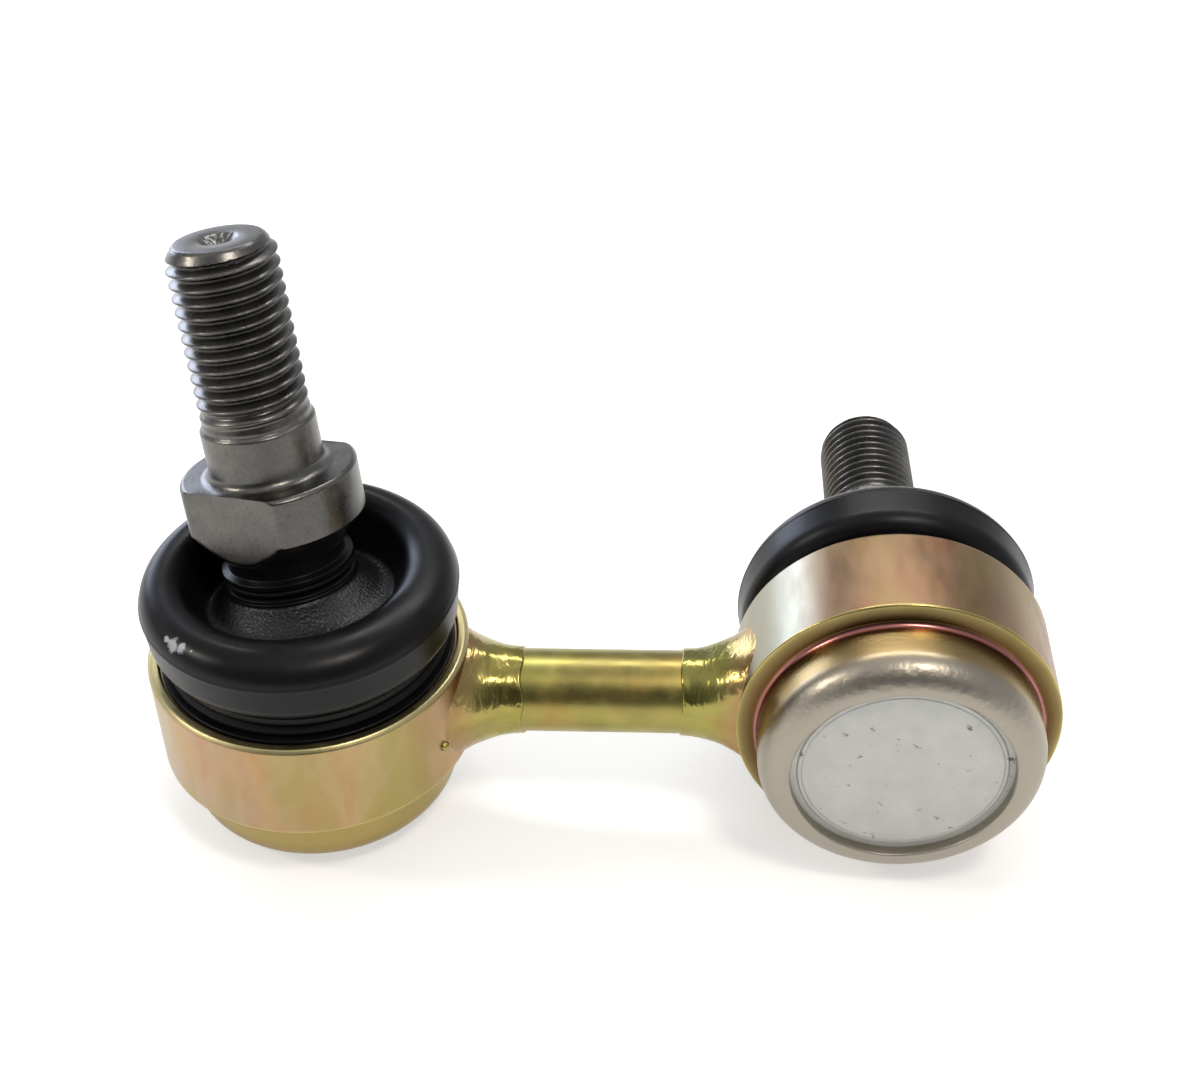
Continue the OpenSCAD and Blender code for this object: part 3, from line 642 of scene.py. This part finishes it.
waist_s = math.sqrt(BALL_R ** 2 - WAIST_R ** 2)
neck_run = NECK_LOW - waist_s
neck_swell = NECK_R - WAIST_R
neck_hollow = (neck_run ** 2 + neck_swell ** 2) / (2 * neck_swell)
neck_angle = math.degrees(math.asin(neck_run / neck_hollow))
chamfer_low = STUD_TIP - TIP_CHAMFER
thread_count = int((chamfer_low - THREAD_LOW) / THREAD_PITCH * THREAD_ROWS)
pole_angle = math.degrees(math.acos(POLE_R / BALL_R))
waist_angle = math.degrees(math.acos(WAIST_R / BALL_R))
stud_line = (
    arc((0, 0), BALL_R, -pole_angle, waist_angle, 36)
    + arc((WAIST_R + neck_hollow, waist_s), neck_hollow, 180, 180 - neck_angle, 10)[1:]
    + [(NECK_R, 14.0), (NECK_R, COLLAR_BASE), (COLLAR_BASE_R - 0.1, COLLAR_BASE)]
    + [(COLLAR_BASE_R + (COLLAR_R - COLLAR_BASE_R) * t / CONE_STEPS,
        COLLAR_BASE + (COLLAR_LOW - COLLAR_BASE) * t / CONE_STEPS) for t in range(CONE_STEPS + 1)]
    + eased([
        (COLLAR_R, COLLAR_LOW + 0.3),
        (COLLAR_R, COLLAR_TOP - COLLAR_BEVEL),
        (COLLAR_R - COLLAR_BEVEL, COLLAR_TOP),
        (SHANK_R + COLLAR_FILLET + 0.1, COLLAR_TOP),
    ], 0.15)
    + arc((SHANK_R + COLLAR_FILLET, COLLAR_TOP + COLLAR_FILLET), COLLAR_FILLET, 268, 180, 9)
    + eased([
        (SHANK_R, COLLAR_TOP + 1.5),
        (SHANK_R, SHANK_TOP - 0.3),
        (THREAD_R, SHANK_TOP),
        (THREAD_R, THREAD_LOW - 0.1),
    ], 0.12)
    + [(THREAD_R, THREAD_LOW + (chamfer_low - THREAD_LOW) * t / thread_count)
       for t in range(thread_count + 1)]
    + [(THREAD_R + (TIP_FACE_R - THREAD_R) * t / CHAMFER_STEPS, chamfer_low + TIP_CHAMFER * t / CHAMFER_STEPS)
       for t in range(1, CHAMFER_STEPS - 2)]
    + arc((TIP_FACE_R - 0.2, STUD_TIP - 0.2), 0.2, 33, 90, 4)
    + [(3.0, STUD_TIP), (TIP_MARK_R + 0.2, STUD_TIP), (TIP_MARK_R, STUD_TIP - TIP_MARK_EDGE)]
    + [(TIP_MARK_R * (1 - t / MARK_STEPS),
        STUD_TIP - TIP_MARK_EDGE - (TIP_MARK_DEPTH - TIP_MARK_EDGE) * math.sin(t / MARK_STEPS * math.pi / 2))
       for t in range(1, MARK_STEPS)]
)
thread_height_points = [
    1 - thread_depth(s, 2 * math.pi * j / STUD_AROUND) / THREAD_DEPTH if s < chamfer_low + 0.6 else 1.0
    for r, s in stud_line
    for j in range(STUD_AROUND)
]
for side in SIDES:
    points, faces = lathe(stud_line, STUD_AROUND, stud_shape, ring=False)
    turn = leaned(side) @ Matrix.Rotation(math.radians(STUD_TURN[side]), 3, "Z")
    points = [turn @ Vector(p) for p in points]
    stud = new_piece(side + "_stud", points, faces, joint_frame(side), turned_steel, 38)
    stud.data.attributes.new("thread_height", "FLOAT", "POINT").data.foreach_set("value", thread_height_points)
    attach(stud, side + "_stud")
    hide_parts(side + "_ball_stud")

# Boots: moulded rubber with a fat roll, a dished top and a stepped neck. The base sits round the
# cup's spigot and the neck round the stud, so the wall leans with the stud between them. Each is made in
# five parts: base and roll stay near the cup, dish and floor are pieces of their own, and the neck follows.
BOOT_WALL = 1.4
BOOT_AROUND = 160
PINCH = (12.45, 9.2)
SIDE_FOOT = (13.9, 10.6)
SIDE_SLOPE = 5.0
ROLL_CENTRE = (12.4, 12.9)
FLOOR_CENTRE = (8.3, 11.7)
WALL_BEND = 1.7
NECK_FOOT = (5.68, 11.48)
NECK_BORE_R = 4.98
NECK_TOP = 15.92
PARTING_ANGLE = 3.2
PARTING_WIDTH = 3.0
PARTING_RIDGE = 0.08
BLOOM_MM = 6.0
SAND_MM = 0.28
SAND_HEIGHT = 0.09
SMEAR_MM = 0.7
# The wall takes up the stud's lean over five stretches: foot and side, roll, dish, floor and cone.
LEAN_POWER = 2.5
SOLID_STEPS = (1, 9, 1, 5, 1)
WALL_STEPS = (16, 40, 8, 22, 5)
FOOT_STEPS = 10
ROLL_CUT, CREST_CUT, DISH_CUT, FLOOR_CUT = 11, 44, 60, 74
DISH_SKIN = 0.05


def bearing(start, end):
    """Direction of one point from another, in degrees."""
    return math.degrees(math.atan2(end[1] - start[1], end[0] - start[0])) % 360


def touch(start, end, r):
    """Angle from that direction to where a tangent touches a circle about the first point."""
    return math.degrees(math.acos(r / math.dist(start, end)))


def between(a, b, steps):
    """Points on a straight line, without its ends."""
    return [(a[0] + (b[0] - a[0]) * k / steps, a[1] + (b[1] - a[1]) * k / steps) for k in range(1, steps)]


roll_to = bearing(ROLL_CENTRE, FLOOR_CENTRE) - touch(ROLL_CENTRE, FLOOR_CENTRE, 2 * WALL_BEND)
floor_to = bearing(FLOOR_CENTRE, NECK_FOOT) + touch(FLOOR_CENTRE, NECK_FOOT, WALL_BEND)
foot_turns = [math.radians(90 * k / FOOT_STEPS) for k in range(FOOT_STEPS + 1)]
foot_out, foot_up = SIDE_FOOT[0] - PINCH[0], SIDE_FOOT[1] - PINCH[1]
foot_points = [
    (PINCH[0] + foot_out * math.sin(turn), PINCH[1] + foot_up * (1 - math.cos(turn))) for turn in foot_turns
]
roll_points = arc(ROLL_CENTRE, WALL_BEND, -SIDE_SLOPE, roll_to, WALL_STEPS[1])
floor_points = arc(FLOOR_CENTRE, WALL_BEND, roll_to + 180, floor_to, WALL_STEPS[3])
wall_line = (
    foot_points
    + between(SIDE_FOOT, roll_points[0], WALL_STEPS[0] - FOOT_STEPS)
    + roll_points
    + between(roll_points[-1], floor_points[0], WALL_STEPS[2])
    + floor_points
    + between(floor_points[-1], NECK_FOOT, WALL_STEPS[4])
    + [NECK_FOOT]
)
wall_last = len(wall_line) - 1
wall_shares = np.interp(
    range(wall_last + 1), np.cumsum((0,) + WALL_STEPS), np.cumsum((0,) + SOLID_STEPS) / sum(SOLID_STEPS)
) ** LEAN_POWER


def wall_face(out):
    """The wall's face on that side, or a share of the way to it, each point with its share of the lean."""
    made = []
    for i, p in enumerate(wall_line):
        a, b = wall_line[max(i - 1, 0)], wall_line[min(i + 1, wall_last)]
        away = out * BOOT_WALL / 2
        if out > 0 and ROLL_CUT < i < CREST_CUT:
            off = abs(bearing(ROLL_CENTRE, p) - PARTING_ANGLE)
            away += PARTING_RIDGE * max(0.0, 1 - off / PARTING_WIDTH)
        step = away / math.dist(a, b)
        made.append((p[0] + (b[1] - a[1]) * step, p[1] - (b[0] - a[0]) * step, wall_shares[i]))
    return made


# The base: a flange in the cup's recess, a groove for the ring, a rib, and a lip over the spigot's top.
base_outside = eased([
    (10.88, 5.58),
    (13.95, 5.58),
    (13.95, 6.18),
    (12.3, 6.18),
    (12.3, 7.44),
    (13.2, 7.44),
    (13.2, 8.19),
    (12.85, 8.45),
], 0.2)
# The neck: a bead, a groove for the ring, a wider lip and a plain sleeve.
neck_outside = eased([
    (6.3, 12.2),
    (6.15, 12.42),
    (6.15, 12.67),
    (5.45, 12.92),
    (5.45, 13.66),
    (6.25, 13.74),
    (6.25, 14.3),
    (5.45, 14.43),
    (5.45, NECK_TOP),
    (NECK_BORE_R, NECK_TOP),
    (NECK_BORE_R, 11.5),
], 0.12)
base_inside = [
    (11.6, 8.15), (10.9, 7.82), (9.3, 7.8), (9.15, 7.68), (9.3, 7.56),
    (11.38, 7.56), (11.38, 6.92), (10.88, 6.42),
]
outer, inner, skin = wall_face(1), wall_face(-1)[::-1], wall_face(1 - DISH_SKIN)[::-1]
boot_line = (
    [(r, z, 0.0) for r, z in base_outside]
    + outer
    + [(r, z, 1.0) for r, z in neck_outside]
    + inner
    + [(r, z, 0.0) for r, z in base_inside]
    + skin
)
first_outer = len(base_outside)
first_neck = first_outer + len(outer)
first_inner = first_neck + len(neck_outside)
after_inner = first_inner + len(inner)
first_skin = after_inner + len(base_inside)


def rubber_finish(name, scuffs):
    """Moulded black rubber: a soft sheen over near-black, sandy where the mould was left rough.

    The sand is finer on the part, and is drawn as coarse as it needs to show.
    """
    material, tree, shader, place = new_finish(name, IOR=1.5)
    bloom = add(tree, "TexNoise", {"Vector": place, "Scale": per_mm(BLOOM_MM), "Detail": 5.0,
                                   "Roughness": 0.65})
    black = add(tree, "ValToRGB", {"Fac": bloom.outputs["Fac"]}, stops=[(0.3, "#0b0b0d"), (0.7, "#131316")])
    matt = add(tree, "MapRange", {"Value": bloom.outputs["Fac"], "From Min": 0.3, "From Max": 0.7,
                                  "To Min": 0.26, "To Max": 0.4})
    sandy = add(tree, "Attribute", attribute_name="sandy").outputs["Fac"]
    sand = add(tree, "TexNoise", {"Vector": place, "Scale": per_mm(SAND_MM), "Detail": 2.0})
    rough_mould = add(tree, "Bump", {"Height": sand.outputs["Fac"], "Distance": SAND_HEIGHT * MM,
                                     "Strength": sandy})
    sparkle = add(tree, "MapRange", {"Value": sandy, "To Min": 0.2, "To Max": 0.42})
    tree.links.new(sparkle.outputs[0], shader.inputs["Specular IOR Level"])
    colour = black.outputs[0]
    smear = add(tree, "TexNoise", {"Vector": place, "Scale": per_mm(SMEAR_MM), "Detail": 4.0,
                                   "Roughness": 0.7})
    for spot, size in scuffs:
        away = add(tree, "VectorMath", {0: place, 1: spot}, operation="DISTANCE").outputs["Value"]
        ragged = add(tree, "MapRange", {"Value": smear.outputs["Fac"], "From Min": 0.3, "From Max": 0.7,
                                        "To Min": -0.45 * size * MM, "To Max": 0.45 * size * MM})
        reach = add(tree, "Math", {0: away, 1: ragged.outputs[0]}, operation="ADD")
        mark = add(tree, "MapRange", {"Value": reach.outputs[0], "From Min": 0.6 * size * MM,
                                      "From Max": size * MM, "To Min": 0.8, "To Max": 0.0})
        colour = add(tree, "Mix", {0: mark.outputs[0], 6: colour, 7: linear("#b9bcc4")},
                     data_type="RGBA").outputs[2]
    tree.links.new(colour, shader.inputs["Base Color"])
    tree.links.new(matt.outputs[0], shader.inputs["Roughness"])
    tree.links.new(rough_mould.outputs[0], shader.inputs["Normal"])
    return material


def boot_piece(name, side, rows, material):
    """One part of the boot from rows of its line, shaded smoothly across its cuts."""
    points = []
    for r, z, share in boot_line:
        turn = leaned(side, share)
        for j in range(BOOT_AROUND):
            a = 2 * math.pi * j / BOOT_AROUND
            points.append(turn @ Vector((r * math.cos(a), r * math.sin(a), z)))
    grid = np.array(points).reshape(len(boot_line), BOOT_AROUND, 3)
    along = np.roll(grid, -1, 0) - np.roll(grid, 1, 0)
    across = np.roll(grid, -1, 1) - np.roll(grid, 1, 1)
    normal = np.cross(across, along)
    normal /= np.linalg.norm(normal, axis=2, keepdims=True)
    part = grid[rows].reshape(-1, 3).tolist()
    piece = new_piece(name, part, band(len(rows), BOOT_AROUND), joint_frame(side), material, 180)
    piece.data.normals_split_custom_set_from_vertices(normal[rows].reshape(-1, 3).tolist())
    first_sandy = first_outer + FLOOR_CUT - 1
    sandy = [float(first_sandy <= row < first_neck) for row in rows for j in range(BOOT_AROUND)]
    piece.data.attributes.new("sandy", "FLOAT", "POINT").data.foreach_set("value", sandy)
    return piece


def wall_rows(a, b, end=after_inner):
    """Rows of the outer face from one cut to the next, then back along the face whose rows end there."""
    return list(range(first_outer + a, first_outer + b + 1)) + list(range(end - 1 - b, end - a))


# Pale scuffs on the left boot's crest: where each is from the ball's centre, and its radius.
left_joint = joint_frame("left")
scuffs = [(left_joint @ (Vector(p) * MM), size) for p, size in (
    ((-9.3, -10.5, 14.6), 0.75),
    ((-8.5, -11.0, 14.7), 0.5),
    ((-10.1, -9.9, 14.7), 0.35),
    ((-7.4, -11.6, 14.9), 0.2),
)]
rubber = {
    "left": rubber_finish("Moulded black rubber, scuffed", scuffs),
    "right": rubber_finish("Moulded black rubber", []),
}
base_rows = list(range(first_outer)) + wall_rows(0, ROLL_CUT) + list(range(after_inner, first_skin))
neck_rows = list(range(first_outer + FLOOR_CUT, after_inner - FLOOR_CUT))
for side in SIDES:
    boot, ring = side + "_boot", side + "_neck_ring"
    wall = boot_piece(side + "_boot_wall", side, base_rows, rubber[side])
    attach(wall, "link")
    roll = boot_piece(side + "_boot_roll", side, wall_rows(ROLL_CUT, CREST_CUT), rubber[side])
    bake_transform(roll)
    rows = wall_rows(CREST_CUT, DISH_CUT, len(boot_line))
    dish = boot_piece(side + "_boot_dish", side, rows, rubber[side])
    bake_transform(dish)
    rows = wall_rows(DISH_CUT, FLOOR_CUT, len(boot_line))
    dish_floor = boot_piece(side + "_boot_floor", side, rows, rubber[side])
    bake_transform(dish_floor)
    neck = boot_piece(side + "_boot_neck", side, neck_rows, rubber[side])
    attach(neck, ring)
    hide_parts(boot)

# Boot rings: black spring wire bent to open circles, one round the boot's base and one round its neck.
# They spring shut in the boot's grooves and hold it to the cup and to the stud.
# Phosphate leaves the wire nearly black and matt.
black_wire, tree, shader, place = new_finish("Black phosphated wire", Roughness=0.6, Specular_IOR_Level=0.2)
tone = add(tree, "TexNoise", {"Vector": place, "Scale": per_mm(3.0), "Detail": 3.0})
dark = add(tree, "ValToRGB", {"Fac": tone.outputs["Fac"]}, stops=[(0.3, "#08080a"), (0.7, "#111113")])
tree.links.new(dark.outputs[0], shader.inputs["Base Color"])
for side in SIDES:
    dress(side + "_boot_base_ring", black_wire)
    dress(side + "_boot_neck_ring", black_wire)

# Camera: placed from the photograph, above the bar and a little to the right, looking down on it.
# Its lens is a little longer than normal for its sensor.
CAMERA_PLACE = Vector((8.781, -146.793, 139.849)) * MM
CAMERA_VIEW = Vector((-0.05116, 0.77687, -0.62757)).normalized()
CAMERA_UP = Vector((-0.01256, 0.62785, 0.77824))
camera_data = bpy.data.cameras.new("Camera")
camera_data.sensor_fit = "HORIZONTAL"
camera_data.sensor_width = 36.0
camera_data.lens = 56.104
camera_data.clip_start = 0.005
camera_data.clip_end = 20.0
camera = bpy.data.objects.new("Camera", camera_data)
right = CAMERA_VIEW.cross(CAMERA_UP).normalized()
camera_turn = Matrix((right, right.cross(CAMERA_VIEW), -CAMERA_VIEW)).transposed().to_4x4()
camera.matrix_world = Matrix.Translation(CAMERA_PLACE) @ camera_turn
bpy.context.scene.collection.objects.link(camera)
bpy.context.scene.camera = camera

# Floor: a pale sheet that touches the right cup's side and the left cup's lip, as the part lies.
# The camera and reflections see it white, less the shadow that falls on it.
FLOOR_HALF = 3.0
FLOOR_GAP = 0.3
FLOOR_GLOW = 0.5
floor_tilt = math.atan((rod_middle.z / MM + LIP_LOW) / (LINK_LENGTH + SKIRT_R - LIP_ROUND))
floor_corners = [(x * FLOOR_HALF, y * FLOOR_HALF, 0) for x, y in ((-1, -1), (1, -1), (1, 1), (-1, 1))]
floor_mesh = bpy.data.meshes.new("floor")
floor_mesh.from_pydata(floor_corners, [], [(0, 1, 2, 3)])
floor = bpy.data.objects.new("floor", floor_mesh)
bpy.context.scene.collection.objects.link(floor)
floor.matrix_world = (
    Matrix.Translation(Vector((LINK_LENGTH / 2 * MM, rod_middle.y, -FLOOR_GAP * MM)))
    @ Matrix.Rotation(floor_tilt, 4, "Y")
)
pale, tree, shader, place = new_finish(
    "Pale paper", Base_Color=linear("#dededc"), Roughness=0.9, Specular_IOR_Level=0.1,
    Emission_Color=(1, 1, 1, 1))
path = add(tree, "LightPath").outputs
seen = add(tree, "Math", {0: path["Is Camera Ray"], 1: path["Is Glossy Ray"]}, operation="MAXIMUM")
seen = add(tree, "Math", {0: seen.outputs[0], 1: path["Is Transmission Ray"]}, operation="MAXIMUM")
glow = add(tree, "Math", {0: seen.outputs[0], 1: FLOOR_GLOW}, operation="MULTIPLY")
tree.links.new(glow.outputs[0], shader.inputs["Emission Strength"])
floor_mesh.materials.append(pale)

# Light: a pale room that is darker on the camera's side, two small warm lamps overhead, a long lamp behind
# and a cool window low on the left behind the part.
world = bpy.data.worlds.new("Studio")
bpy.context.scene.world = world
world.use_nodes = True
tree = world.node_tree
tree.nodes.clear()
room = add(tree, "TexCoord").outputs["Generated"]
rise = add(tree, "SeparateXYZ", {0: room}).outputs["Z"]
walls = add(tree, "ValToRGB", {"Fac": rise}, stops=[
    (0.0, "#c9cbcf"), (0.3, "#b4b6ba"), (0.65, "#b0b1b3"), (1.0, "#dedede")])
towards = add(tree, "VectorMath", {0: room, 1: (0.0, -0.94, 0.34)}, operation="DOT_PRODUCT").outputs["Value"]
camera_side = add(tree, "ValToRGB", {"Fac": towards}, stops=[(0.65, 1.0), (0.93, 0.25)])
shaded = add(tree, "Mix", {0: 1.0, 6: walls.outputs[0], 7: camera_side.outputs[0]},
             data_type="RGBA", blend_type="MULTIPLY")
surround = add(tree, "Background", {"Color": shaded.outputs[2], "Strength": 1.0})
add(tree, "OutputWorld", {"Surface": surround.outputs[0]})

# For each lamp: its direction from the part, its distance, width and height in metres, its watts and tone.
target = Vector((0.0, -10.0, 14.0)) * MM
for name, direction, distance, width, height, power, tone in (
    ("lamp_left", (-0.79, -0.14, 0.60), 0.6, 0.1, 0.1, 0.8, "#fff6ea"),
    ("lamp_right", (0.27, -0.33, 0.90), 0.6, 0.1, 0.1, 1.0, "#fff6ea"),
    ("lamp_back", (0.05, 0.58, 0.81), 0.6, 0.5, 0.07, 1.3, "#ffffff"),
    ("window", (-0.62, 0.77, 0.12), 0.7, 0.34, 0.34, 2.2, "#d3def8"),
):
    lamp_data = bpy.data.lights.new(name, "AREA")
    lamp_data.shape = "RECTANGLE"
    lamp_data.size = width
    lamp_data.size_y = height
    lamp_data.energy = power
    lamp_data.color = linear(tone)[:3]
    lamp = bpy.data.objects.new(name, lamp_data)
    lamp.location = target + Vector(direction) * distance
    lamp.rotation_euler = (-Vector(direction)).to_track_quat("-Z", "Y").to_euler()
    bpy.context.scene.collection.objects.link(lamp)

bpy.context.scene.view_settings.view_transform = "Standard"
